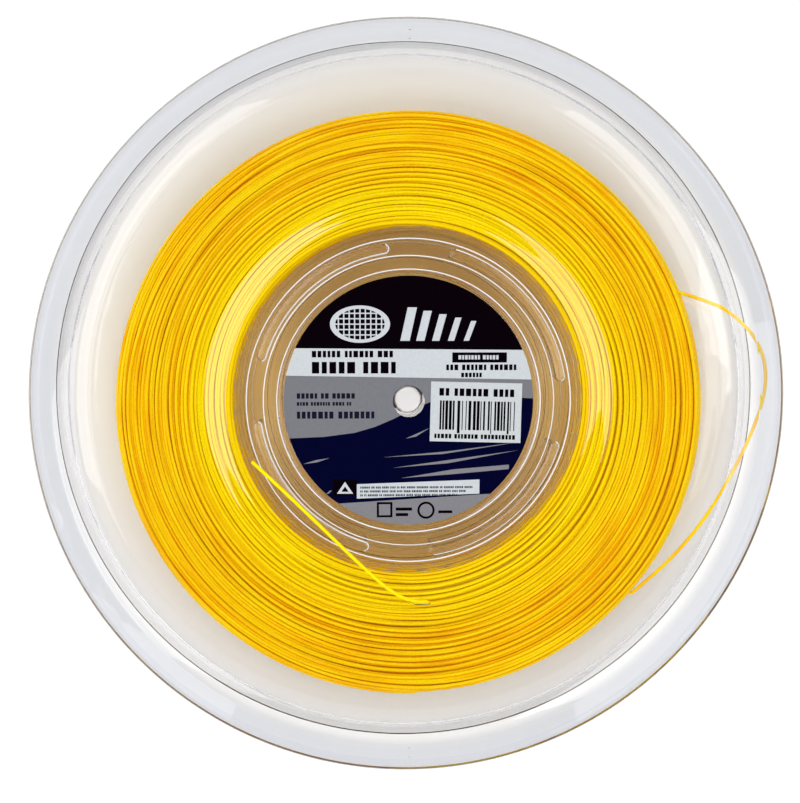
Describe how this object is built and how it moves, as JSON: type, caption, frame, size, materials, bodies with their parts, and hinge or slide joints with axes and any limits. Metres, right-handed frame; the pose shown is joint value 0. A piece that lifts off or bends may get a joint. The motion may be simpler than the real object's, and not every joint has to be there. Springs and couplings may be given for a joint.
{
  "type": "racket string reel",
  "caption": "Clear two-piece reel of racket string: dished flanges with a raised rim, a labelled hub and a through bore, wound with yellow monofilament.",
  "frame": {"origin": "on the reel's axis, at the plane that its rear rim rests on", "axes": "+Z along the reel's axis, out of the labelled front face; +Y towards the top of the front label"},
  "size_m": [0.262, 0.262, 0.036],
  "materials": {
    "clear_plastic": "clear injection-moulded polystyrene, glossy",
    "label_paper": "printed paper label, satin",
    "sticker_paper": "white paper sticker",
    "string": "yellow monofilament, slightly translucent and glossy"
  },
  "bodies": {
    "root": {"front_half": "clear_plastic", "rear_half": "clear_plastic", "front_label": "label_paper", "rear_label": "label_paper", "barcode_sticker": "sticker_paper", "string_winding": "string", "string_tail": "string", "string_loop": "string"}
  },
  "joints": []
}
